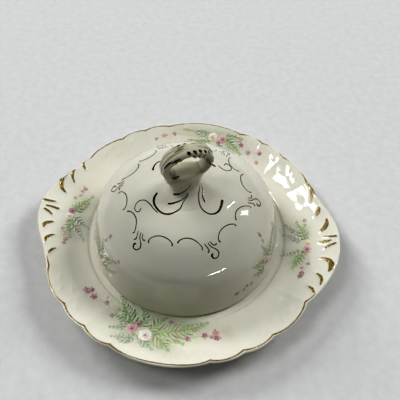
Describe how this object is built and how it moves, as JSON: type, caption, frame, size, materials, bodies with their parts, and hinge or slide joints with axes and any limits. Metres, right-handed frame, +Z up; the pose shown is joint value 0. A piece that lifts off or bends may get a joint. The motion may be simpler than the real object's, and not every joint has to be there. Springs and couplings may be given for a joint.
{
  "type": "covered butter dish",
  "caption": "Round ceramic butter dish: scalloped underplate with tab handles, loose pierced drainer and a domed lift-off cover with an upright loop finial.",
  "frame": {"origin": "centre of the dish on the surface it stands on", "axes": "+X through the right-hand tab handle, +Y away from the front of the dish, +Z up"},
  "size_m": [0.2104, 0.196, 0.0906],
  "materials": {
    "ivory_glaze": "glossy warm off-white glaze with faint crazing",
    "finial_glaze": "glossy glaze over moulded leaf ribs, touched with worn gilding",
    "drainer_glaze": "plain glossy glaze, undecorated",
    "worn_gilding": "thin fired gold, worn and dark where it mirrors the room",
    "printed_flowers": "soft underglaze transfer of ferns, roses and buds"
  },
  "bodies": {
    "plate": {"underplate": "ivory_glaze"},
    "lid": {"cover": "ivory_glaze", "loop_finial": "finial_glaze"},
    "insert": {"drainer": "drainer_glaze"}
  },
  "joints": [
    {"name": "cover_lift", "type": "slide", "parent": "plate", "child": "lid", "axis": [0, 0, 1], "range_m": [0, 0.07]},
    {"name": "drainer_lift", "type": "slide", "parent": "plate", "child": "insert", "axis": [0, 0, 1], "range_m": [0, 0.016]}
  ]
}
